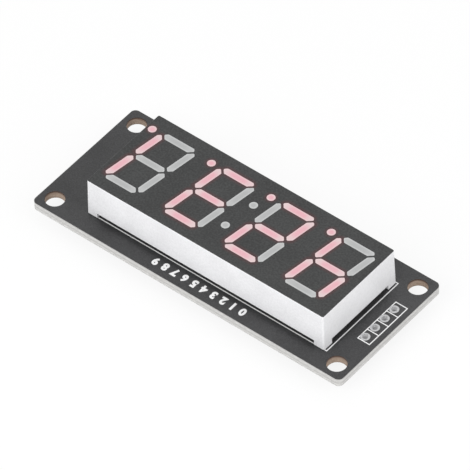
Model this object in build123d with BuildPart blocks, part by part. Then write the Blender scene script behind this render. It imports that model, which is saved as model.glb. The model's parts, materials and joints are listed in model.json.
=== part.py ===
from build123d import *

import os
from math import atan, degrees, radians, sqrt, tan

os.makedirs("parts", exist_ok=True)

# Four-digit seven-segment display module: a moulded LED display soldered to a small circuit board.
# Millimetres. The origin is the middle of the four mounting holes, on the board's rear face.
# +X runs the way the digits read, +Y is the top of the digits, +Z comes out of the display.

# Circuit board
board_length = 65.5
board_width = 26.8
board_thickness = 1.6
board_corner_radius = 1.0
mounting_hole_diameter = 3.5
mounting_hole_inset = 2.75  # from the board's edges to a hole's centre

# Row of plated holes for a four-pin header
header_count = 4
header_pitch = 2.54
header_inset = 2.75  # from the board's left end to the row
header_offset_y = -0.56
header_hole_diameter = 1.0
header_ring_width = 0.35
header_ring_thickness = 0.05

# Display shell
display_length = 50.3
display_width = 19.0
display_height = 8.0  # from the board to the face
display_offset_x = -1.5
display_offset_y = 0.3
side_draft = 0.15  # how far each side leans in over the display's height
shell_wall = 0.9
shell_corner_radius = 0.3
face_edge_radius = 0.15
foot_height = 1.2
foot_length = 2.1
foot_chamfer = 0.2

# What the shell holds
led_board_thickness = 1.0
led_board_gap = 0.25  # between the LED board's edge and the shell, filled with resin
resin_cover = 0.8  # over the rear of the LED board
resin_recess = 0.3  # from the shell's rear rim to the resin
die_size = 0.3
die_height = 0.2

# Digits
digit_count = 4
digit_pitch = 12.7
digit_height = 14.0
digit_width = 8.0
digit_slant = 8.0  # degrees
digit_offset_y = 0.1  # from the middle of the display's face
segment_width = 1.3
segment_gap = 0.4
segment_tip_shift = 0.15  # an outer tip lies this far outside its segment's centre line
window_narrowing = 0.2  # how much each side of a window draws in towards the LED board
window_corner_margin = 0.05  # a window's corner radius is larger than its narrowing by this
point_diameter = 1.5
point_gap = 0.85  # from the digit's right edge
colon_spacing = 6.25

# Display pins and their solder
pins_per_row = 6
pin_pitch = 2.54
pin_row_spacing = 15.24
pin_diameter = 0.5
pin_protrusion = 2.7  # below the board's rear face
pin_tip_chamfer = 0.12
pin_hole_clearance = 0.2  # all round the pin, filled with solder
solder_ring_width = 0.4  # around the hole, on the rear
solder_height = 0.9
solder_rim = 0.1
solder_front_ring_width = 0.15
solder_front_height = 0.25

# Driver chip
chip_length = 12.8
chip_width = 7.5
chip_height = 2.3
chip_standoff = 0.15
chip_side_taper = 7.0  # degrees
chip_mark_diameter = 1.2
chip_mark_depth = 0.1
chip_mark_inset = 1.3
leads_per_side = 10
lead_pitch = 1.27
lead_width = 0.42
lead_thickness = 0.25
lead_foot = 0.8
lead_shoulder = 0.35  # straight part outside the body
lead_slope = 0.25  # how far out the sloping part runs
lead_root = 0.4  # held inside the body

# Small surface-mount parts on the rear
resistor_size = (2.0, 1.25, 0.5)
resistor_places = [(-22.5, 3.2), (-22.5, -0.2)]
capacitor_size = (2.0, 1.25, 0.9)
capacitor_places = [(-22.5, -4.0), (16.5, 3.0), (16.5, -1.5)]
terminal_length = 0.4
terminal_wrap = 0.04  # a terminal stands this far proud of the body all round

# Heights and places that follow from the sizes above
seat_z = board_thickness
rim_z = seat_z + foot_height
face_z = seat_z + display_height
resin_rear_z = rim_z + resin_recess
led_board_rear_z = resin_rear_z + resin_cover
led_board_front_z = led_board_rear_z + led_board_thickness
reflector_depth = face_z - led_board_front_z
window_taper = degrees(atan(window_narrowing / reflector_depth))
window_corner_radius = window_narrowing + window_corner_margin

inner_length = display_length - 2 * shell_wall
inner_width = display_width - 2 * shell_wall
led_board_length = inner_length - 2 * led_board_gap
led_board_width = inner_width - 2 * led_board_gap

display_centre = (display_offset_x, display_offset_y)
hole_spacing_x = board_length - 2 * mounting_hole_inset
hole_spacing_y = board_width - 2 * mounting_hole_inset
header_centre = (header_inset - board_length / 2, header_offset_y)
header_ring_diameter = header_hole_diameter + 2 * header_ring_width
pin_hole_diameter = pin_diameter + 2 * pin_hole_clearance
solder_pad_diameter = pin_hole_diameter + 2 * solder_ring_width
solder_front_diameter = pin_hole_diameter + 2 * solder_front_ring_width


def display_plane(height):
    """A level plane over the middle of the display."""
    return Plane.XY.offset(height).move(Location((display_offset_x, display_offset_y, 0)))


def digit_plane(height):
    """A level plane over the middle of the digits."""
    return display_plane(height).move(Location((0, digit_offset_y, 0)))


def centred_row(count, pitch):
    """Positions of `count` items spaced by `pitch` about zero."""
    return [(index - (count - 1) / 2) * pitch for index in range(count)]


# ---------------------------------------------------------------- segment outlines


def slanted(x, y):
    """A point of an upright digit, moved to its place in the slanted one."""
    return (x + y * tan(radians(digit_slant)), y)


def level_segment(y, side):
    """Outline of segment a (side 1), g (side 0) or d (side -1), its centre line at height y."""
    half = segment_width / 2
    shift = segment_tip_shift * abs(side)
    outward = side if side else 1
    inner_x = (digit_width - segment_width) / 2 - segment_gap / sqrt(2) - half
    right = [
        (inner_x, y - outward * half),
        (inner_x + half + shift, y + outward * shift),
        (inner_x + 2 * shift, y + outward * half),
    ]
    return right + [(-x, height) for x, height in reversed(right)]


def upright_segment(side, half_of_digit):
    """Outline of segment b, c, e or f: side 1 is right, half_of_digit 1 is the upper half."""
    half = segment_width / 2
    gap = segment_gap / sqrt(2)
    centre_x = (digit_width - segment_width) / 2
    top = (digit_height - segment_width) / 2 - gap
    outline = [
        (centre_x - half, gap + half),
        (centre_x, gap),
        (centre_x + half, gap + half),
        (centre_x + half, top - half + 2 * segment_tip_shift),
        (centre_x + segment_tip_shift, top + segment_tip_shift),
        (centre_x - half, top - half),
    ]
    return [(side * x, half_of_digit * y) for x, y in outline]


def segment_outlines():
    """The seven segments of an upright digit about its centre."""
    outer_y = (digit_height - segment_width) / 2
    return {
        "a": level_segment(outer_y, 1),
        "b": upright_segment(1, 1),
        "c": upright_segment(1, -1),
        "d": level_segment(-outer_y, -1),
        "e": upright_segment(-1, -1),
        "f": upright_segment(-1, 1),
        "g": level_segment(0, 0),
    }


def segment_profile(digit_x, outline):
    """One segment's window on the display's face."""
    with BuildSketch(digit_plane(face_z)) as profile:
        with BuildLine():
            Polyline(*[(digit_x + slanted(*point)[0], point[1]) for point in outline], close=True)
        make_face()
        fillet(profile.vertices(), window_corner_radius)
    return profile.sketch


def dot_profile(x, y):
    """A round window on the display's face."""
    with BuildSketch(digit_plane(face_z)) as profile:
        with Locations((x, y)):
            Circle(point_diameter / 2)
    return profile.sketch


# Each window as (node name, its outline on the face, the place of its LED chip, its group)
windows = []
for number, digit_x in enumerate(centred_row(digit_count, digit_pitch), start=1):
    for letter, outline in segment_outlines().items():
        middle_x, middle_y = slanted(
            sum(x for x, y in outline) / len(outline), sum(y for x, y in outline) / len(outline)
        )
        windows.append(
            (
                f"digit_{number}_segment_{letter}",
                segment_profile(digit_x, outline),
                (digit_x + middle_x, middle_y),
                f"digit_{number}",
            )
        )
    dot_x, dot_y = slanted(
        digit_width / 2 + point_gap + point_diameter / 2, (point_diameter - digit_height) / 2
    )
    windows.append(
        (
            f"digit_{number}_point",
            dot_profile(digit_x + dot_x, dot_y),
            (digit_x + dot_x, dot_y),
            f"digit_{number}",
        )
    )
for name, height in (("upper", colon_spacing / 2), ("lower", -colon_spacing / 2)):
    dot_x, dot_y = slanted(0, height)
    windows.append((f"colon_{name}", dot_profile(dot_x, dot_y), (dot_x, dot_y), "colon"))

# ---------------------------------------------------------------- display pins

with BuildPart() as display_pins:
    with BuildSketch(display_plane(-pin_protrusion)):
        with GridLocations(pin_pitch, pin_row_spacing, pins_per_row, 2):
            Circle(pin_diameter / 2)
    extrude(amount=pin_protrusion + led_board_front_z)
    chamfer(display_pins.edges().group_by(Axis.Z)[0], pin_tip_chamfer)

# ---------------------------------------------------------------- circuit board

with BuildPart() as board:
    with BuildSketch(Plane.XY):
        RectangleRounded(board_length, board_width, board_corner_radius)
        with GridLocations(hole_spacing_x, hole_spacing_y, 2, 2):
            Circle(mounting_hole_diameter / 2, mode=Mode.SUBTRACT)
        with Locations(header_centre):
            with GridLocations(0, header_pitch, 1, header_count):
                Circle(header_hole_diameter / 2, mode=Mode.SUBTRACT)
        with Locations(display_centre):
            with GridLocations(pin_pitch, pin_row_spacing, pins_per_row, 2):
                Circle(pin_hole_diameter / 2, mode=Mode.SUBTRACT)
    extrude(amount=board_thickness)

# Solderable rings around the header holes, on both faces
with BuildPart() as header_rings:
    for start_z in (-header_ring_thickness, board_thickness):
        with BuildSketch(Plane.XY.offset(start_z)):
            with Locations(header_centre):
                with GridLocations(0, header_pitch, 1, header_count):
                    Circle(header_ring_diameter / 2)
                    Circle(header_hole_diameter / 2, mode=Mode.SUBTRACT)
        extrude(amount=header_ring_thickness)

# One solder joint: a hollow cone on the rear, the filled hole, and a low collar on the front
with BuildPart() as solder_joint:
    with BuildSketch(Plane.XZ):
        with BuildLine():
            Polyline(
                (pin_diameter / 2, -solder_height),
                (pin_diameter / 2, board_thickness + solder_front_height),
                (solder_front_diameter / 2, board_thickness),
                (pin_hole_diameter / 2, board_thickness),
                (pin_hole_diameter / 2, 0),
                (solder_pad_diameter / 2, 0),
                (solder_pad_diameter / 2, -solder_rim),
            )
            ThreePointArc(
                (solder_pad_diameter / 2, -solder_rim),
                (
                    pin_diameter / 2 + (solder_pad_diameter - pin_diameter) / 6,
                    -solder_rim - (solder_height - solder_rim) / 3,
                ),
                (pin_diameter / 2, -solder_height),
            )
        make_face()
    revolve(axis=Axis.Z)

with BuildPart() as display_solder:
    with Locations(display_centre):
        with GridLocations(pin_pitch, pin_row_spacing, pins_per_row, 2):
            add(solder_joint.part)

# ---------------------------------------------------------------- display shell

with BuildPart() as display_shell:
    with BuildSketch(display_plane(seat_z)):
        Rectangle(display_length, display_width)
    extrude(amount=display_height, taper=degrees(atan(side_draft / display_height)))
    fillet(display_shell.edges().group_by(Axis.Z)[1], shell_corner_radius)
    fillet(display_shell.faces().sort_by(Axis.Z)[-1].edges(), face_edge_radius)
    # the hollow behind the reflector
    with BuildSketch(display_plane(seat_z)):
        Rectangle(inner_length, inner_width)
    extrude(amount=led_board_front_z - seat_z, mode=Mode.SUBTRACT)
    # the walls stand clear of the board between the corner feet
    with BuildSketch(display_plane(seat_z)):
        Rectangle(display_length - 2 * foot_length, display_width)
        Rectangle(display_length, display_width - 2 * foot_length)
    extrude(amount=foot_height, mode=Mode.SUBTRACT)
    chamfer(display_shell.faces().group_by(Axis.Z)[0].edges(), foot_chamfer)
    # a light well for each window
    for name, profile, place, group in windows:
        extrude(profile, amount=-reflector_depth, taper=window_taper, mode=Mode.SUBTRACT)

with BuildPart() as led_board:
    with BuildSketch(display_plane(led_board_rear_z)):
        Rectangle(led_board_length, led_board_width)
        with GridLocations(pin_pitch, pin_row_spacing, pins_per_row, 2):
            Circle(pin_diameter / 2, mode=Mode.SUBTRACT)
    extrude(amount=led_board_thickness)

with BuildPart() as rear_resin:
    with BuildSketch(display_plane(resin_rear_z)):
        Rectangle(inner_length, inner_width)
        with GridLocations(pin_pitch, pin_row_spacing, pins_per_row, 2):
            Circle(pin_diameter / 2, mode=Mode.SUBTRACT)
    extrude(amount=led_board_front_z - resin_rear_z)
    with BuildSketch(display_plane(led_board_rear_z)):
        Rectangle(led_board_length, led_board_width)
    extrude(amount=led_board_thickness, mode=Mode.SUBTRACT)

# LED chips: one under each window, kept together digit by digit
led_dies = {}
for group in dict.fromkeys(group for name, profile, place, group in windows):
    with BuildPart() as dies:
        with BuildSketch(digit_plane(led_board_front_z)):
            with Locations(*[place for name, profile, place, owner in windows if owner == group]):
                Rectangle(die_size, die_size)
        extrude(amount=die_height)
    dies.part.label = f"{group}_led_chips"
    led_dies[group] = dies.part

# The clear resin in each light well, cast around its LED chip
window_parts = []
for name, profile, place, group in windows:
    with BuildPart() as window:
        extrude(profile, amount=-reflector_depth, taper=window_taper)
        with BuildSketch(digit_plane(led_board_front_z)):
            with Locations(place):
                Rectangle(die_size, die_size)
        extrude(amount=die_height, mode=Mode.SUBTRACT)
    window.part.label = name
    window_parts.append(window.part)

# ---------------------------------------------------------------- driver chip

chip_middle_z = -chip_standoff - chip_height / 2
lead_outer_y = chip_width / 2 + lead_shoulder + lead_slope + lead_foot


def lead_outline(side):
    """A gull-wing lead seen from the chip's end; side 1 is +Y."""
    half = lead_thickness / 2
    root_y = chip_width / 2 - lead_root
    bend_y = chip_width / 2 + lead_shoulder
    foot_y = bend_y + lead_slope
    outline = [
        (root_y, chip_middle_z - half),
        (bend_y + half, chip_middle_z - half),
        (foot_y + half, -lead_thickness),
        (lead_outer_y, -lead_thickness),
        (lead_outer_y, 0),
        (foot_y - half, 0),
        (bend_y - half, chip_middle_z + half),
        (root_y, chip_middle_z + half),
    ]
    return [(side * y, z) for y, z in outline]


with BuildPart() as driver_leads:
    for lead_x in centred_row(leads_per_side, lead_pitch):
        start = Plane.YZ.offset(display_offset_x + lead_x - lead_width / 2)
        for side in (1, -1):
            with BuildSketch(start):
                with BuildLine():
                    Polyline(
                        *[(display_offset_y + y, z) for y, z in lead_outline(side)], close=True
                    )
                make_face()
            extrude(amount=lead_width)

with BuildPart() as driver_chip:
    for direction in (1, -1):
        with BuildSketch(display_plane(chip_middle_z)):
            Rectangle(chip_length, chip_width)
        extrude(amount=direction * chip_height / 2, taper=chip_side_taper)
    # the round mark beside lead 1
    with BuildSketch(display_plane(chip_middle_z - chip_height / 2)):
        with Locations((chip_mark_inset - chip_length / 2, chip_mark_inset - chip_width / 2)):
            Circle(chip_mark_diameter / 2)
    extrude(amount=chip_mark_depth, mode=Mode.SUBTRACT)
    add(driver_leads.part, mode=Mode.SUBTRACT)

# ---------------------------------------------------------------- resistors and capacitors


def passive_bodies(size, places):
    """The bodies of chip parts, each held between its two terminals."""
    length, width, height = size
    with BuildPart() as bodies:
        with BuildSketch(Plane.XY.offset(-height)):
            with Locations(*places):
                Rectangle(length - 2 * terminal_length, width)
        extrude(amount=height - terminal_wrap)
    return bodies.part


def passive_terminals(size, places):
    """Both end caps of each chip part, standing on the board's rear face."""
    length, width, height = size
    with BuildPart() as terminals:
        with BuildSketch(Plane.XY.offset(-height - terminal_wrap)):
            with Locations(*places):
                with GridLocations(length - terminal_length, 0, 2, 1):
                    Rectangle(terminal_length, width + 2 * terminal_wrap)
        extrude(amount=height + terminal_wrap)
    return terminals.part


# ---------------------------------------------------------------- writing the sub-parts

finished = {
    "board": board.part,
    "header_rings": header_rings.part,
    "display_shell": display_shell.part,
    "led_board": led_board.part,
    "rear_resin": rear_resin.part,
    "display_pins": display_pins.part,
    "display_solder": display_solder.part,
    "driver_chip": driver_chip.part,
    "driver_leads": driver_leads.part,
    "resistor_bodies": passive_bodies(resistor_size, resistor_places),
    "resistor_terminals": passive_terminals(resistor_size, resistor_places),
    "capacitor_bodies": passive_bodies(capacitor_size, capacitor_places),
    "capacitor_terminals": passive_terminals(capacitor_size, capacitor_places),
}
for name, part in finished.items():
    part.label = name
for part in [*finished.values(), *led_dies.values(), *window_parts]:
    export_step(part, f"parts/{part.label}.step")
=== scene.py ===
"""The looks of a four-digit seven-segment display module, around its CAD frame. Metres."""

import json
from math import cos, radians, sin, tan

import bmesh
import bpy
from mathutils import Matrix, Vector


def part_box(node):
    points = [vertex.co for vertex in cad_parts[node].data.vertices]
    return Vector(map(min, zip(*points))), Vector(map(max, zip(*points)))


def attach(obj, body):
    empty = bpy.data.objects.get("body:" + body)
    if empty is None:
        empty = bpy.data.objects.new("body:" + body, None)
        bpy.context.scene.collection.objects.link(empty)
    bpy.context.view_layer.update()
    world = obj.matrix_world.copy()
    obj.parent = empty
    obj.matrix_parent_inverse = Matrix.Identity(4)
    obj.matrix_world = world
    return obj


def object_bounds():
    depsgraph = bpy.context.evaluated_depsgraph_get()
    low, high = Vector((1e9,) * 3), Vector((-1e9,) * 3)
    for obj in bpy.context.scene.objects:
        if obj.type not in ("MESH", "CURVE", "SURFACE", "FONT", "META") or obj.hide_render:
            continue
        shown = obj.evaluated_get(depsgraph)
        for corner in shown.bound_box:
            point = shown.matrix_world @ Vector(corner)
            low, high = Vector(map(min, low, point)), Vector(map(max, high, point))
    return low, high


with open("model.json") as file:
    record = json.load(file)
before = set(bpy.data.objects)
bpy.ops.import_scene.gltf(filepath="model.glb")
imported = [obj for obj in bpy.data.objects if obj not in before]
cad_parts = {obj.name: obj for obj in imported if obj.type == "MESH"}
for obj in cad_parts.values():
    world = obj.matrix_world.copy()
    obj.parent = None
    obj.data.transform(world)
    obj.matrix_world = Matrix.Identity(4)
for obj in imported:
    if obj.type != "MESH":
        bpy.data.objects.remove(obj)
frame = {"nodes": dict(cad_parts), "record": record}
cad_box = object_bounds()

MM = 0.001


def tone(red, green, blue):
    """A colour given as it looks on screen, 0 to 255, as the linear colour that the shaders take."""
    linear = [
        value / 255 / 12.92 if value <= 10 else ((value / 255 + 0.055) / 1.055) ** 2.4
        for value in (red, green, blue)
    ]
    return (*linear, 1.0)


# ---------------------------------------------------------------- measures taken from the frame

_, board_high = [Vector(corner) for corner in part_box("board")]
shell_low, shell_high = [Vector(corner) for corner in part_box("display_shell")]
chip_low, chip_high = [Vector(corner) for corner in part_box("driver_chip")]
_, lead_high = [Vector(corner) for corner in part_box("driver_leads")]
pins_low, pins_high = [Vector(corner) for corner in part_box("display_pins")]
board_top = board_high.z
face_height = shell_high.z
display_middle = (shell_low + shell_high) / 2
mounts = {mount["name"]: mount for mount in frame["record"]["mounts"]}
screw_place = Vector(mounts["screw_hole_4"]["pos_m"])
screw_radius = mounts["screw_hole_4"]["dims"]["r_mm"] * MM
header_places = [Vector(mounts[f"header_hole_{n}"]["pos_m"]) for n in (1, 2, 3, 4)]
header_hole_radius = mounts["header_hole_1"]["dims"]["r_mm"] * MM
header_middle = sum(place.y for place in header_places) / len(header_places)
header_pitch = header_places[0].y - header_places[1].y

DIGIT_SLANT = radians(8)
PINS_PER_ROW = 6
PIN_PITCH = 2.54 * MM
PIN_DIAMETER = 0.5 * MM
LEADS_PER_SIDE = 10
LEAD_PITCH = 1.27 * MM
LEAD_FOOT = 0.8 * MM
PRINT_LINE = 0.18 * MM
PRINT_HEIGHT = 0.02 * MM
# on the rear the print also covers the tracks that stand proud
REAR_PRINT_HEIGHT = 0.045 * MM

LIT = {1: "bcfg", 2: "abdeg", 3: "abcdg", 4: "bc"}


def window_axes(node):
    """A window's centre, the ways along and across it, and half its length between its rounded ends."""
    low, high = [Vector(corner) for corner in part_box(node)]
    centre = (low + high) / 2
    if "_segment_" not in node:
        return centre, (0, 1, 0), (1, 0, 0), 0.0
    if node[-1] in "adg":
        half_width = (high.y - low.y) / 2
        return centre, (1, 0, 0), (0, 1, 0), (high.x - low.x) / 2 - half_width
    half_height = (high.y - low.y) / 2
    half_width = (high.x - low.x) / 2 - half_height * tan(DIGIT_SLANT)
    return centre, (0, 1, 0), (1, -tan(DIGIT_SLANT), 0), half_height - half_width


def is_lit(node):
    """Whether a window shows its LED lit."""
    if node.endswith("_point"):
        return True
    if "_segment_" in node:
        return node[-1] in LIT[int(node.split("_")[1])]
    return False


# ---------------------------------------------------------------- shader helpers


class Nodes:
    """A short way to add and join the nodes of one tree."""

    def __init__(self, tree):
        self.tree = tree
        tree.nodes.clear()

    def add(self, kind, **settings):
        node = self.tree.nodes.new(kind)
        for key, value in settings.items():
            setattr(node, key, value)
        return node

    def put(self, source, target):
        """Joins an output to an input, or sets the input to a plain value."""
        if isinstance(source, bpy.types.NodeSocket):
            self.tree.links.new(source, target)
        else:
            target.default_value = source

    def math(self, operation, *values):
        node = self.add("ShaderNodeMath", operation=operation)
        for value, socket in zip(values, node.inputs):
            self.put(value, socket)
        return node.outputs[0]

    def mix(self, factor, first, second):
        node = self.add("ShaderNodeMix", data_type="RGBA")
        self.put(factor, node.inputs["Factor"])
        self.put(first, node.inputs["A"])
        self.put(second, node.inputs["B"])
        return node.outputs["Result"]

    def away(self, value, middle):
        """How far a value lies from a middle, either way."""
        return self.math("ABSOLUTE", self.math("SUBTRACT", value, middle))

    def straight(self, across, along):
        """The straight distance from two measures at right angles."""
        squares = [self.math("MULTIPLY", part, part) for part in (across, along)]
        return self.math("SQRT", self.math("ADD", *squares))

    def split(self, vector):
        node = self.add("ShaderNodeSeparateXYZ")
        self.put(vector, node.inputs[0])
        return node.outputs

    def between(self, value, low, high):
        """1 where a value lies between two limits."""
        above = self.math("GREATER_THAN", value, low)
        return self.math("MULTIPLY", above, self.math("LESS_THAN", value, high))

    def ramp(self, value, low, high):
        """A value's way from low to high, smoothed, as 0 to 1."""
        node = self.add("ShaderNodeMapRange", interpolation_type="SMOOTHSTEP")
        self.put(value, node.inputs["Value"])
        node.inputs["From Min"].default_value = low
        node.inputs["From Max"].default_value = high
        return node.outputs["Result"]

    def group(self, tree, **values):
        node = self.add("ShaderNodeGroup", node_tree=tree)
        for key, value in values.items():
            self.put(value, node.inputs[key.replace("_", " ")])
        return node.outputs


def new_group(name, inputs, outputs):
    """An empty shader group with float or vector sockets."""
    tree = bpy.data.node_groups.new(name, "ShaderNodeTree")
    for label, kind, value in inputs:
        socket = tree.interface.new_socket(label, in_out="INPUT", socket_type=kind)
        if value is not None:
            socket.default_value = value
    for label, kind in outputs:
        tree.interface.new_socket(label, in_out="OUTPUT", socket_type=kind)
    nodes = Nodes(tree)
    return tree, nodes, nodes.add("NodeGroupInput").outputs, nodes.add("NodeGroupOutput").inputs


def grain_group():
    """Fine surface grain over broad, faint clouding: a shade about 0.5 and a height."""
    tree, nodes, given, result = new_group(
        "grain",
        [
            ("Vector", "NodeSocketVector", None),
            ("Scale", "NodeSocketFloat", 4000.0),
            ("Cloud Scale", "NodeSocketFloat", 120.0),
            ("Cloud Share", "NodeSocketFloat", 0.4),
        ],
        [("Shade", "NodeSocketFloat"), ("Height", "NodeSocketFloat")],
    )
    fine = nodes.add("ShaderNodeTexNoise")
    nodes.put(given["Vector"], fine.inputs["Vector"])
    nodes.put(given["Scale"], fine.inputs["Scale"])
    fine.inputs["Detail"].default_value = 3.0
    fine.inputs["Roughness"].default_value = 0.6
    cloud = nodes.add("ShaderNodeTexNoise")
    nodes.put(given["Vector"], cloud.inputs["Vector"])
    nodes.put(given["Cloud Scale"], cloud.inputs["Scale"])
    blend = nodes.add("ShaderNodeMix", data_type="FLOAT")
    nodes.put(given["Cloud Share"], blend.inputs["Factor"])
    nodes.put(fine.outputs["Fac"], blend.inputs["A"])
    nodes.put(cloud.outputs["Fac"], blend.inputs["B"])
    nodes.put(blend.outputs["Result"], result["Shade"])
    nodes.put(fine.outputs["Fac"], result["Height"])
    return tree


def bar_group():
    """How far a place lies from a straight bar that is level with the board, and from the bar's middle."""
    tree, nodes, given, result = new_group(
        "bar_distance",
        [
            ("Vector", "NodeSocketVector", None),
            ("Centre", "NodeSocketVector", None),
            ("Along", "NodeSocketVector", None),
            ("Across", "NodeSocketVector", None),
            ("Reach", "NodeSocketFloat", 0.0),
        ],
        [("Distance", "NodeSocketFloat"), ("From Middle", "NodeSocketFloat")],
    )
    offset = nodes.add("ShaderNodeVectorMath", operation="SUBTRACT")
    nodes.put(given["Vector"], offset.inputs[0])
    nodes.put(given["Centre"], offset.inputs[1])
    parts = []
    for way in ("Along", "Across"):
        dot = nodes.add("ShaderNodeVectorMath", operation="DOT_PRODUCT")
        nodes.put(offset.outputs[0], dot.inputs[0])
        nodes.put(given[way], dot.inputs[1])
        parts.append(nodes.math("ABSOLUTE", dot.outputs["Value"]))
    past_end = nodes.math("MAXIMUM", nodes.math("SUBTRACT", parts[0], given["Reach"]), 0.0)
    nodes.put(nodes.straight(past_end, parts[1]), result["Distance"])
    nodes.put(parts[0], result["From Middle"])
    return tree


grain = grain_group()
bar_distance = bar_group()


def start_material(name, roughness, **plain):
    """A Principled material with its Object coordinates, and constant sockets set by name."""
    material = bpy.data.materials.new(name)
    material.use_nodes = True
    nodes = Nodes(material.node_tree)
    shader = nodes.add("ShaderNodeBsdfPrincipled")
    output = nodes.add("ShaderNodeOutputMaterial")
    nodes.put(shader.outputs[0], output.inputs["Surface"])
    shader.inputs["Roughness"].default_value = roughness
    for key, value in plain.items():
        shader.inputs[key.replace("_", " ")].default_value = value
    place = nodes.add("ShaderNodeTexCoord").outputs["Object"]
    return material, nodes, shader, place


def add_bump(nodes, shader, height, distance):
    """Raises a surface by a height of 0 to 1, times a distance."""
    bump = nodes.add("ShaderNodeBump")
    bump.inputs["Strength"].default_value = 1.0
    bump.inputs["Distance"].default_value = distance
    nodes.put(height, bump.inputs["Height"])
    nodes.put(bump.outputs["Normal"], shader.inputs["Normal"])


def shaded(nodes, place, colour, spread, scale, cloud_scale=120.0, cloud_share=0.4):
    """A colour varied by grain, from darker to lighter by the given spread, and the grain's height."""
    outputs = nodes.group(
        grain, Vector=place, Scale=scale, Cloud_Scale=cloud_scale, Cloud_Share=cloud_share
    )
    dark = (*[channel * (1 - spread) for channel in colour[:3]], 1.0)
    light = (*[min(1.0, channel * (1 + spread)) for channel in colour[:3]], 1.0)
    return nodes.mix(nodes.ramp(outputs["Shade"], 0.3, 0.7), dark, light), outputs["Height"]


def simple_finish(name, colour, roughness, spread=0.1, scale=4000.0, bump=0.0, **plain):
    """One colour with its grain, for a piece of a single stuff."""
    material, nodes, shader, place = start_material(name, roughness, **plain)
    varied, height = shaded(nodes, place, colour, spread, scale)
    nodes.put(varied, shader.inputs["Base Color"])
    if bump:
        add_bump(nodes, shader, height, bump)
    return material


# ---------------------------------------------------------------- materials

EDGE_LIGHT = tone(206, 205, 203)
EDGE_DARK = tone(184, 183, 181)
EDGE_LINE = tone(168, 167, 165)

# how far past a hole's radius its wall's finish reaches, and how far below the face the ink does
HOLE_WALL_MARGIN = 0.05 * MM
INK_DEPTH = 0.11 * MM

# resin at the middle, at the ends and along the rim; the lit tones are painted glow, the LED's pink light
# painted into the resin's colour
PAINTED_GLOW_TONES = (tone(223, 174, 183), tone(218, 200, 201), tone(222, 206, 206))
UNLIT_TONES = (tone(177, 178, 178), tone(187, 188, 188), tone(205, 206, 206))


def board_finish():
    """Dark mask on both faces, pale laminate on the cut edges, and the holes' own walls."""
    mask_roughness, wall_roughness = 0.4, 0.8
    material, nodes, shader, place = start_material("solder_mask_board", mask_roughness)
    x, y, z = nodes.split(place)
    mask, grain_height = shaded(nodes, place, tone(53, 53, 54), 0.42, 4200.0, 150.0, 0.35)

    # cut edges show the glass cloth in layers, with a darker line near half height and at the top
    stretch = nodes.add("ShaderNodeMapping")
    stretch.inputs["Scale"].default_value = (1200, 1200, 6000)
    nodes.put(place, stretch.inputs["Vector"])
    layers = nodes.add("ShaderNodeTexNoise")
    layers.inputs["Scale"].default_value = 1.0
    layers.inputs["Detail"].default_value = 3.0
    nodes.put(stretch.outputs[0], layers.inputs["Vector"])
    layered = nodes.mix(nodes.ramp(layers.outputs["Fac"], 0.32, 0.68), EDGE_DARK, EDGE_LIGHT)
    off_middle = nodes.away(z, board_top * 0.45)
    middle_line = nodes.math("SUBTRACT", 1.0, nodes.ramp(off_middle, 0.05 * MM, 0.3 * MM))
    edge = nodes.mix(nodes.math("MULTIPLY", middle_line, 0.5), layered, EDGE_LINE)
    edge = nodes.mix(nodes.ramp(z, board_top - 0.3 * MM, board_top), edge, EDGE_LINE)

    # screw holes: bare brown laminate, darker towards the top rim
    across = nodes.math("SUBTRACT", nodes.math("ABSOLUTE", x), screw_place.x)
    along = nodes.math("SUBTRACT", nodes.math("ABSOLUTE", y), abs(screw_place.y))
    reach = nodes.straight(across, along)
    in_screw_hole = nodes.math("LESS_THAN", reach, screw_radius + HOLE_WALL_MARGIN)
    bare = nodes.mix(layers.outputs["Fac"], tone(126, 104, 88), tone(192, 174, 158))
    rim = nodes.ramp(z, board_top - 0.7 * MM, board_top - 0.05 * MM)
    brown = nodes.mix(rim, bare, tone(66, 44, 34))
    wall = nodes.mix(in_screw_hole, edge, brown)

    # header holes: dull plated walls
    row_reach, plating_metal = 6 * MM, 0.6
    beside = nodes.away(x, header_places[0].x)
    lengthwise = nodes.away(y, header_middle)
    in_header = nodes.math(
        "MULTIPLY",
        nodes.math("LESS_THAN", beside, header_hole_radius + HOLE_WALL_MARGIN),
        nodes.math("LESS_THAN", lengthwise, row_reach),
    )
    wall = nodes.mix(in_header, wall, tone(212, 212, 213))

    # walls lie between the two faces
    face_margin = 0.02 * MM
    is_wall = nodes.between(z, face_margin, board_top - face_margin)
    nodes.put(nodes.mix(is_wall, mask, wall), shader.inputs["Base Color"])
    rougher = nodes.math("MULTIPLY", is_wall, wall_roughness - mask_roughness)
    nodes.put(nodes.math("ADD", mask_roughness, rougher), shader.inputs["Roughness"])
    metal = nodes.math("MULTIPLY", nodes.math("MULTIPLY", is_wall, in_header), plating_metal)
    nodes.put(metal, shader.inputs["Metallic"])
    add_bump(nodes, shader, grain_height, 0.012 * MM)
    return material


def painted_spill_mask(nodes, place):
    """1 beside a lit window, fading to 0 a short way off: where the red light spilling from the lit
    windows is painted onto the ink.
    """
    full_glow, no_glow = 0.6 * MM, 1.5 * MM
    nearest = 1.0
    for node in filter(is_lit, frame["nodes"]):
        centre, along, across, reach = window_axes(node)
        found = nodes.group(
            bar_distance,
            Vector=place,
            Centre=(centre.x, centre.y, 0),
            Along=along,
            Across=across,
            Reach=reach,
        )
        nearest = nodes.math("MINIMUM", nearest, found["Distance"])
    return nodes.math("SUBTRACT", 1.0, nodes.ramp(nearest, full_glow, no_glow))


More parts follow.
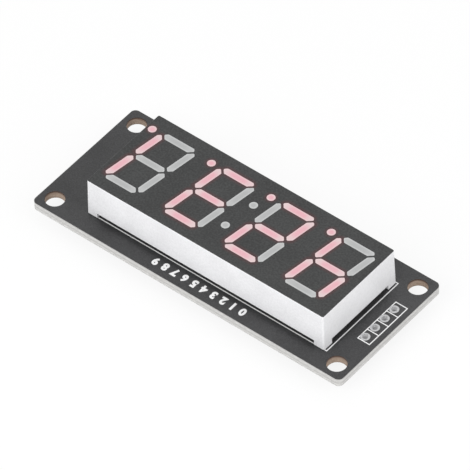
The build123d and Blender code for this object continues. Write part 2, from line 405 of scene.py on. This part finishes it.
def shell_finish():
    """White moulded plastic with a fine spark-eroded grain, and a flat grey ink over the face; a painted
    highlight along its top rim, corners and end walls, and a painted red glow on the ink beside lit
    windows.
    """
    material, nodes, shader, place = start_material("moulded_shell", 0.5)
    x, _, z = nodes.split(place)
    plastic, plastic_height = shaded(nodes, place, tone(228, 228, 230), 0.07, 2800.0, 200.0, 0.4)

    # painted highlight: the moulding is painted brighter along its top rim, and fainter so at its corners
    # and end walls, for the light that falls on its edges
    from_middle = nodes.away(x, display_middle.x)
    half_length = shell_high.x - display_middle.x
    at_corner = nodes.ramp(from_middle, half_length - 0.45 * MM, half_length - 0.2 * MM)
    at_top = nodes.ramp(z, face_height - 0.5 * MM, face_height - 0.3 * MM)
    painted_corner_highlight = nodes.math("MULTIPLY", at_corner, 0.5)
    painted_rim_highlight = nodes.math("MULTIPLY", nodes.math("MAXIMUM", painted_corner_highlight, at_top), 0.4)
    plastic = nodes.mix(painted_rim_highlight, plastic, tone(242, 242, 243))

    # painted light: the red glow that spills from a lit window is painted onto the ink beside it
    ink, _ = shaded(nodes, place, tone(47, 48, 48), 0.55, 2800.0, 120.0, 0.3)
    painted_glow = nodes.math("MULTIPLY", painted_spill_mask(nodes, place), 0.5)
    ink = nodes.mix(painted_glow, ink, tone(84, 34, 38))
    inked = nodes.math("GREATER_THAN", z, face_height - INK_DEPTH)
    nodes.put(nodes.mix(inked, plastic, ink), shader.inputs["Base Color"])
    plastic_roughness, ink_roughness = 0.52, 0.46
    smoother = nodes.math("MULTIPLY", inked, plastic_roughness - ink_roughness)
    nodes.put(nodes.math("SUBTRACT", plastic_roughness, smoother), shader.inputs["Roughness"])
    add_bump(nodes, shader, plastic_height, 0.01 * MM)
    return material


def window_finish(node, lit):
    """Milky resin over its LED: strongest in the middle, paler to the ends and along the rim; a lit
    window's LED glow is painted into its colour.
    """
    name = f"lit_{node}" if lit else f"unlit_{node}"
    material, nodes, shader, place = start_material(name, 0.5, Coat_Weight=0.06, Coat_Roughness=0.3)
    centre, along, across, reach = window_axes(node)
    flat = nodes.add("ShaderNodeVectorMath", operation="MULTIPLY")
    nodes.put(place, flat.inputs[0])
    flat.inputs[1].default_value = (1, 1, 0)
    found = nodes.group(
        bar_distance,
        Vector=flat.outputs[0],
        Centre=(centre.x, centre.y, 0),
        Along=along,
        Across=across,
        Reach=reach,
    )
    speck = nodes.group(grain, Vector=place, Scale=2600.0, Cloud_Scale=600.0, Cloud_Share=0.5)
    speckle_strength = 1.4
    speckle = nodes.math("MULTIPLY", nodes.math("SUBTRACT", speck["Shade"], 0.5), speckle_strength)
    fade_start, fade_end = max(reach * 0.4, 0.3 * MM), max(reach * 1.1, 0.9 * MM)
    outward = nodes.ramp(found["From Middle"], fade_start, fade_end)
    outward = nodes.math("ADD", outward, speckle)
    rim = nodes.ramp(found["Distance"], 0.25 * MM, 0.62 * MM)
    # a lit window takes the painted glow tones
    middle, end, edge = PAINTED_GLOW_TONES if lit else UNLIT_TONES
    colour = nodes.mix(outward, middle, end)
    nodes.put(nodes.mix(nodes.math("MULTIPLY", rim, 0.6), colour, edge), shader.inputs["Base Color"])
    if lit:
        shader.inputs["Emission Color"].default_value = tone(255, 96, 110)
        shader.inputs["Emission Strength"].default_value = 0.05
    add_bump(nodes, shader, speck["Height"], 0.008 * MM)
    return material


def dress_nodes(tin, solder):
    """Gives every CAD node its finish."""
    finishes = {
        "board": board_finish(),
        "display_shell": shell_finish(),
        "header_rings": tin,
        "display_pins": tin,
        "driver_leads": tin,
        "display_solder": solder,
        "resistor_terminals": solder,
        "capacitor_terminals": solder,
        "led_board": simple_finish("led_laminate", tone(206, 210, 198), 0.6, 0.06),
        "rear_resin": simple_finish("cast_resin", tone(205, 203, 190), 0.3, 0.05, Coat_Weight=0.4),
        "driver_chip": simple_finish("moulded_epoxy", tone(38, 38, 40), 0.6, 0.2, 6000.0, 0.012 * MM),
        "resistor_bodies": simple_finish("glazed_black", tone(30, 30, 32), 0.3, 0.15),
        "capacitor_bodies": simple_finish("capacitor_ceramic", tone(172, 142, 112), 0.5, 0.08),
    }
    chip = simple_finish("led_chip", tone(176, 96, 84), 0.3, 0.1)
    for node, piece in frame["nodes"].items():
        if node in finishes:
            finish = finishes[node]
        elif node.endswith("_led_chips"):
            finish = chip
        else:
            finish = window_finish(node, is_lit(node))
        for material_slot in piece.material_slots:
            material_slot.material = finish


# ---------------------------------------------------------------- printed lines and numerals


def make_piece(name, mesh_builder, finish):
    """Turns a filled bmesh into a piece that rides with the module."""
    mesh = bpy.data.meshes.new(name)
    mesh_builder.to_mesh(mesh)
    mesh_builder.free()
    piece = bpy.data.objects.new(name, mesh)
    bpy.context.scene.collection.objects.link(piece)
    mesh.materials.append(finish)
    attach(piece, "root")
    return piece


def add_slab(shape, centre, length, width, thickness):
    """A flat slab standing on a level plane, or hanging from it if the thickness is negative."""
    made = bmesh.ops.create_cube(shape, size=1.0)
    bmesh.ops.scale(shape, vec=(length, width, abs(thickness)), verts=made["verts"])
    middle = Vector((centre[0], centre[1], centre[2] + thickness / 2))
    bmesh.ops.translate(shape, vec=middle, verts=made["verts"])
    return made["verts"]


def add_frame(shape, low, high, level, thickness):
    """A printed rectangle."""
    width, height = high[0] - low[0], high[1] - low[1]
    middle_x, middle_y = (low[0] + high[0]) / 2, (low[1] + high[1]) / 2
    inner_height = height - 2 * PRINT_LINE
    for side in (-1, 1):
        level_place = (middle_x, middle_y + side * (height - PRINT_LINE) / 2, level)
        add_slab(shape, level_place, width, PRINT_LINE, thickness)
        upright_place = (middle_x + side * (width - PRINT_LINE) / 2, middle_y, level)
        add_slab(shape, upright_place, PRINT_LINE, inner_height, thickness)


def front_lines(finish):
    """The display's outline and the header's box, printed on the board's front a little off register."""
    shape = bmesh.new()
    outline_low = (shell_low.x - 0.39 * MM, shell_low.y - 0.15 * MM)
    outline_high = (shell_high.x - 0.3 * MM, shell_high.y - 0.2 * MM)
    add_frame(shape, outline_low, outline_high, board_top, PRINT_HEIGHT)

    # a box for each header hole, with a line between one and the next
    box_middle = header_middle - 0.26 * MM
    box_low = (header_places[0].x - 1.7 * MM, box_middle - 2 * header_pitch)
    box_high = (header_places[0].x + 0.89 * MM, box_middle + 2 * header_pitch)
    add_frame(shape, box_low, box_high, board_top, PRINT_HEIGHT)
    line_length = box_high[0] - box_low[0] - 2 * PRINT_LINE
    for step in (-1, 0, 1):
        line_place = ((box_low[0] + box_high[0]) / 2, box_middle + step * header_pitch, board_top)
        add_slab(shape, line_place, line_length, PRINT_LINE, PRINT_HEIGHT)
    return make_piece("front_lines", shape, finish)


def numeral_mesh(numeral):
    """One bold numeral as a flat filled mesh, lying about the origin."""
    text = bpy.data.curves.new("numeral", "FONT")
    text.body = numeral
    text.align_x = "CENTER"
    text.align_y = "CENTER"
    text.offset = 0.055
    text.extrude = 0.1
    text.resolution_u = 4
    holder = bpy.data.objects.new("numeral", text)
    bpy.context.scene.collection.objects.link(holder)
    bpy.context.view_layer.update()
    mesh = bpy.data.meshes.new_from_object(holder)
    bpy.data.objects.remove(holder)
    return mesh


def row_of_places(count, pitch, middle):
    """Places along X, spaced evenly about a middle."""
    return [middle + (index - (count - 1) / 2) * pitch for index in range(count)]


def front_numerals(finish):
    """Plain numerals printed beside the display, spread over the middle of its length."""
    numerals = "0123456789"
    row_length, cap_height = 20.5 * MM, 1.7 * MM
    row_y = (shell_high.y + board_high.y) / 2 - 0.4 * MM
    row = row_of_places(len(numerals), row_length / len(numerals), display_middle.x)
    shape = bmesh.new()
    for place_x, numeral in zip(row, numerals):
        mesh = numeral_mesh(numeral)
        height = max(v.co.y for v in mesh.vertices) - min(v.co.y for v in mesh.vertices)
        size = cap_height / height
        thickness = max(v.co.z for v in mesh.vertices) * 2
        shrink = Matrix.Diagonal((size, size, PRINT_HEIGHT / thickness, 1))
        shift = Matrix.Translation((place_x, row_y, board_top + PRINT_HEIGHT / 2))
        mesh.transform(shift @ shrink)
        shape.from_mesh(mesh)
        bpy.data.meshes.remove(mesh)
    return make_piece("front_numerals", shape, finish)


# ---------------------------------------------------------------- the rear: lands, solder, tracks, print

LAND_DEPTH = 0.035 * MM
MOUND_DEPTH = 0.14 * MM
VIA_RADIUS = 0.42 * MM
# tracks and vias are made round, then flattened to this share of their height
TRACK_FLATNESS = 0.16


def foot_places():
    """The chip's leads: the middle of each foot, and which way it points."""
    foot_middle = lead_high.y - display_middle.y - LEAD_FOOT / 2
    for x in row_of_places(LEADS_PER_SIDE, LEAD_PITCH, display_middle.x):
        for side in (1, -1):
            yield x, display_middle.y + side * foot_middle, side


def terminal_places():
    """The end caps of the small parts: the middle of each, its length and width."""
    for node in ("resistor_terminals", "capacitor_terminals"):
        for low, high in separate_boxes(frame["nodes"][node]):
            yield (low + high) / 2, high.x - low.x, high.y - low.y


def separate_boxes(piece):
    """The corners of each loose solid of a CAD node, smallest X first."""
    loose = bmesh.new()
    loose.from_mesh(piece.data)
    bmesh.ops.remove_doubles(loose, verts=loose.verts, dist=0.0001 * MM)
    waiting = set(loose.verts)
    boxes = []
    while waiting:
        found = [waiting.pop()]
        for vertex in found:
            for edge in vertex.link_edges:
                other = edge.other_vert(vertex)
                if other in waiting:
                    waiting.remove(other)
                    found.append(other)
        columns = list(zip(*[vertex.co for vertex in found]))
        boxes.append((Vector(map(min, columns)), Vector(map(max, columns))))
    loose.free()
    return sorted(boxes, key=lambda corners: (round(corners[0].x, 6), corners[0].y))


def add_mound(shape, centre, base, crest, depth):
    """Solder that has flowed round a foot: a low block drawn in towards its crest, with soft edges."""
    verts = add_slab(shape, (*centre, 0), *base, -depth)
    lowest = min(vertex.co.z for vertex in verts)
    crest_verts = [vertex for vertex in verts if vertex.co.z < lowest + depth / 2]
    to_middle = Matrix.Translation((-centre[0], -centre[1], 0))
    ratio = (crest[0] / base[0], crest[1] / base[1], 1)
    bmesh.ops.scale(shape, vec=ratio, space=to_middle, verts=crest_verts)
    edges = {edge for vertex in crest_verts for edge in vertex.link_edges}
    bmesh.ops.bevel(
        shape, geom=list(edges), offset=0.06 * MM, affect="EDGES", segments=2, profile=0.5, material=-1
    )


def rear_lands(finish):
    """Tinned copper under each lead and end cap."""
    shape = bmesh.new()
    for x, y, side in foot_places():
        add_slab(shape, (x, y + side * 0.1 * MM, 0), 0.66 * MM, LEAD_FOOT + 0.9 * MM, -LAND_DEPTH)
    for middle, length, width in terminal_places():
        add_slab(shape, (middle.x, middle.y, 0), length + 0.75 * MM, width + 0.2 * MM, -LAND_DEPTH)
    return make_piece("rear_lands", shape, finish)


def rear_solder(finish):
    """Solder drawn up round the leads and the end caps."""
    shape = bmesh.new()
    for x, y, side in foot_places():
        base, crest = (0.62 * MM, LEAD_FOOT + 0.6 * MM), (0.46 * MM, LEAD_FOOT + 0.1 * MM)
        add_mound(shape, (x, y + side * 0.08 * MM), base, crest, MOUND_DEPTH)
    for middle, length, width in terminal_places():
        base, crest = (length + 0.6 * MM, width + 0.1 * MM), (length + 0.1 * MM, width - 0.04 * MM)
        add_mound(shape, (middle.x, middle.y), base, crest, 2 * MOUND_DEPTH)
    return make_piece("rear_solder", shape, finish)


def track_routes():
    """Each track as its points in the board's plane, and its width."""
    middle_x, middle_y = display_middle.x, display_middle.y
    pin_rows = (pins_high.y - pins_low.y - PIN_DIAMETER) / 2
    leads = row_of_places(LEADS_PER_SIDE, LEAD_PITCH, middle_x)
    pins = row_of_places(PINS_PER_ROW, PIN_PITCH, middle_x)
    lead_end = lead_high.y - middle_y + 0.3 * MM
    turn = lead_end + 0.45 * MM
    pin_width = 0.3 * MM
    leads_to_pins = (0, 2, 4, 5, 7, 9)
    for side in (1, -1):
        for pin_x, lead in zip(pins, leads_to_pins):
            jog = abs(pin_x - leads[lead])
            points = [
                (leads[lead], middle_y + side * lead_end),
                (leads[lead], middle_y + side * turn),
                (pin_x, middle_y + side * (turn + jog)),
                (pin_x, middle_y + side * pin_rows),
            ]
            yield points, pin_width
    # supply and signal lines from the header, through the small parts, towards the chip
    chip_ends = (chip_low.x - 1.6 * MM, chip_high.x + 1.6 * MM)
    signal_width, supply_width = 0.4 * MM, 0.5 * MM
    header_run, far_run = 2.2 * MM, 6 * MM
    caps = sorted((place for place, _, _ in terminal_places()), key=lambda cap: (cap.x, -cap.y))
    near_header, past_header, near_chip, past_chip = caps[0:3], caps[3:6], caps[6:8], caps[8:10]
    for hole, cap in zip(header_places, near_header):
        jog = abs(hole.y - cap.y)
        bend_x = hole.x + header_run
        points = [(hole.x, hole.y), (bend_x, hole.y), (bend_x + jog, cap.y), (cap.x, cap.y)]
        yield points, signal_width
    for cap in past_header:
        yield [(cap.x, cap.y), (chip_ends[0], cap.y)], signal_width
    for cap in near_chip:
        yield [(cap.x, cap.y), (chip_ends[1], cap.y)], supply_width
    for cap in past_chip:
        yield [(cap.x, cap.y), (cap.x + far_run, cap.y)], supply_width


def rear_tracks(finish):
    """Copper tracks that stand proud under the solder mask, with a covered via at each free end."""
    curve = bpy.data.curves.new("tracks", "CURVE")
    curve.dimensions = "3D"
    curve.bevel_depth = 1.0
    curve.bevel_resolution = 2
    curve.use_fill_caps = True
    free_ends = []
    for points, width in track_routes():
        spline = curve.splines.new("POLY")
        spline.points.add(len(points) - 1)
        for point, (x, y) in zip(spline.points, points):
            point.co = (x, y, 0, 1)
            point.radius = width / 2
        if len(points) == 2:
            free_ends.append(points[-1])
    holder = bpy.data.objects.new("tracks", curve)
    bpy.context.scene.collection.objects.link(holder)
    bpy.context.view_layer.update()
    mesh = bpy.data.meshes.new_from_object(holder)
    bpy.data.objects.remove(holder)
    shape = bmesh.new()
    shape.from_mesh(mesh)
    bpy.data.meshes.remove(mesh)
    for x, y in free_ends:
        made = bmesh.ops.create_uvsphere(shape, u_segments=16, v_segments=8, radius=VIA_RADIUS)
        bmesh.ops.translate(shape, vec=(x, y, 0), verts=made["verts"])
    bmesh.ops.scale(shape, vec=(1, 1, TRACK_FLATNESS), verts=shape.verts)
    return make_piece("rear_tracks", shape, finish)


def add_outline(shape, low, high):
    """A printed rectangle on the rear."""
    add_frame(shape, low, high, 0, -REAR_PRINT_HEIGHT)


def rear_print(finish):
    """Outlines of the chip, the small parts and the header, and a dot at the chip's first lead."""
    shape = bmesh.new()
    feet_edge = lead_high.y - display_middle.y - LEAD_FOOT - 0.9 * MM
    chip_margin = 0.35 * MM
    add_outline(
        shape,
        (chip_low.x - chip_margin, display_middle.y - feet_edge),
        (chip_high.x + chip_margin, display_middle.y + feet_edge),
    )
    radius = 0.35 * MM
    dot = bmesh.ops.create_cone(
        shape, segments=24, radius1=radius, radius2=radius, depth=REAR_PRINT_HEIGHT, cap_ends=True
    )
    dot_x, dot_y = chip_low.x - 0.9 * MM, display_middle.y - feet_edge - 1.7 * MM
    bmesh.ops.translate(shape, vec=(dot_x, dot_y, -REAR_PRINT_HEIGHT / 2), verts=dot["verts"])
    caps = sorted(terminal_places(), key=lambda cap: (round(cap[0].y, 5), cap[0].x))
    for (left, length, width), (right, _, _) in zip(caps[0::2], caps[1::2]):
        reach = (length / 2 + 0.7 * MM, width / 2 + 0.4 * MM)
        add_outline(shape, (left.x - reach[0], left.y - reach[1]), (right.x + reach[0], left.y + reach[1]))
    # the header's box, with a line past its first hole
    half = 1.25 * MM
    x = header_places[0].x
    half_row = 2 * header_pitch
    add_outline(shape, (x - half, header_middle - half_row), (x + half, header_middle + half_row))
    line_y = header_places[0].y - header_pitch / 2
    add_slab(shape, (x, line_y, 0), 2 * half - 2 * PRINT_LINE, PRINT_LINE, -REAR_PRINT_HEIGHT)
    return make_piece("rear_print", shape, finish)


# ---------------------------------------------------------------- floor, light and camera

WHITE = (1, 1, 1, 1)


def seen_directly(nodes):
    """1 for rays from the eye, and for what gloss and clear things show."""
    path = nodes.add("ShaderNodeLightPath")
    either = nodes.math("MAXIMUM", path.outputs["Is Camera Ray"], path.outputs["Is Glossy Ray"])
    return nodes.math("MAXIMUM", either, path.outputs["Is Transmission Ray"])


def floor_finish():
    """A matt floor, near white to the eye whatever shade lies on it, and clear from below."""
    floor_tone, white_share = 0.97, 0.86
    material = bpy.data.materials.new("floor")
    material.use_nodes = True
    nodes = Nodes(material.node_tree)
    matt = nodes.add("ShaderNodeBsdfDiffuse")
    matt.inputs["Color"].default_value = (floor_tone, floor_tone, floor_tone, 1)
    white = nodes.add("ShaderNodeEmission")
    white.inputs["Color"].default_value = WHITE
    white.inputs["Strength"].default_value = 1.0
    seen = seen_directly(nodes)
    blend = nodes.add("ShaderNodeMixShader")
    nodes.put(nodes.math("MULTIPLY", seen, white_share), blend.inputs[0])
    nodes.put(matt.outputs[0], blend.inputs[1])
    nodes.put(white.outputs[0], blend.inputs[2])
    from_below = nodes.add("ShaderNodeNewGeometry").outputs["Backfacing"]
    clear = nodes.add("ShaderNodeMixShader")
    nodes.put(nodes.math("MULTIPLY", from_below, seen), clear.inputs[0])
    nodes.put(blend.outputs[0], clear.inputs[1])
    nodes.put(nodes.add("ShaderNodeBsdfTransparent").outputs[0], clear.inputs[2])
    nodes.put(clear.outputs[0], nodes.add("ShaderNodeOutputMaterial").inputs["Surface"])
    return material


def lay_floor():
    """A floor, level with the tips of the pins that the module stands on."""
    half_side = 4.0
    shape = bmesh.new()
    bmesh.ops.create_grid(shape, x_segments=1, y_segments=1, size=half_side)
    bmesh.ops.translate(shape, vec=(0, 0, pins_low.z), verts=shape.verts)
    mesh = bpy.data.meshes.new("floor")
    shape.to_mesh(mesh)
    shape.free()
    mesh.materials.append(floor_finish())
    floor = bpy.data.objects.new("floor", mesh)
    bpy.context.scene.collection.objects.link(floor)


def set_surround():
    """White all round: full white to the eye, and dimmer as a light."""
    light_strength, seen_strength = 0.56, 1.0
    world = bpy.data.worlds.new("surround")
    bpy.context.scene.world = world
    world.use_nodes = True
    nodes = Nodes(world.node_tree)
    blend = nodes.add("ShaderNodeMixShader")
    nodes.put(seen_directly(nodes), blend.inputs[0])
    for strength, socket in ((light_strength, blend.inputs[1]), (seen_strength, blend.inputs[2])):
        white = nodes.add("ShaderNodeBackground")
        white.inputs["Color"].default_value = WHITE
        white.inputs["Strength"].default_value = strength
        nodes.put(white.outputs[0], socket)
    nodes.put(blend.outputs[0], nodes.add("ShaderNodeOutputWorld").inputs["Surface"])


def direction(azimuth, elevation):
    """The way from the module to a viewer, by compass and height in degrees; azimuth 0 is at -Y."""
    turn, rise = radians(azimuth), radians(elevation)
    return Vector((sin(turn) * cos(rise), -cos(turn) * cos(rise), sin(rise)))


def add_lamp(name, azimuth, elevation, distance, size, watts):
    """A round area lamp that faces the module."""
    lamp = bpy.data.lights.new(name, "AREA")
    lamp.shape = "DISK"
    lamp.size = size
    lamp.energy = watts
    holder = bpy.data.objects.new(name, lamp)
    way = direction(azimuth, elevation)
    holder.location = way * distance
    holder.rotation_euler = way.to_track_quat("Z", "Y").to_euler()
    bpy.context.scene.collection.objects.link(holder)


def place_camera(azimuth, elevation, roll, distance, lens):
    """A camera that faces the middle of the module, turned by the roll about its line of sight."""
    camera = bpy.data.cameras.new("camera")
    camera.lens = lens
    camera.sensor_width = 36
    camera.clip_end = 20
    holder = bpy.data.objects.new("camera", camera)
    back = direction(azimuth, elevation)
    level = Vector((cos(radians(azimuth)), sin(radians(azimuth)), 0))
    upward = back.cross(level)
    tilt = radians(roll)
    right = level * cos(tilt) + upward * sin(tilt)
    up = upward * cos(tilt) - level * sin(tilt)
    aim = (Vector(cad_box[0]) + Vector(cad_box[1])) / 2
    turn = Matrix((right, up, back)).transposed().to_4x4()
    holder.matrix_world = Matrix.Translation(aim + back * distance) @ turn
    bpy.context.scene.collection.objects.link(holder)
    bpy.context.scene.camera = holder


# ---------------------------------------------------------------- the scene

tin_finish = simple_finish("tin_plate", tone(205, 205, 206), 0.32, 0.08, 3000.0, 0.004 * MM, Metallic=1.0)
solder_finish = simple_finish("solder", tone(196, 197, 200), 0.24, 0.1, 1500.0, 0.01 * MM, Metallic=1.0)
print_white = simple_finish("white_print", tone(238, 238, 238), 0.6, 0.04, bump=0.004 * MM)
dress_nodes(tin_finish, solder_finish)
front_lines(print_white)
front_numerals(print_white)
rear_lands(tin_finish)
rear_solder(solder_finish)
rear_tracks(simple_finish("masked_track", tone(68, 68, 69), 0.36, 0.3, 4200.0, 0.006 * MM))
rear_print(print_white)
lay_floor()
set_surround()
add_lamp("key_lamp", azimuth=178, elevation=40, distance=0.9, size=0.7, watts=4.35)
add_lamp("fill_lamp", azimuth=272, elevation=35, distance=0.9, size=0.7, watts=2.9)
place_camera(azimuth=220.99, elevation=47.28, roll=-2.46, distance=1.2469, lens=579)
bpy.context.scene.view_settings.view_transform = "Standard"
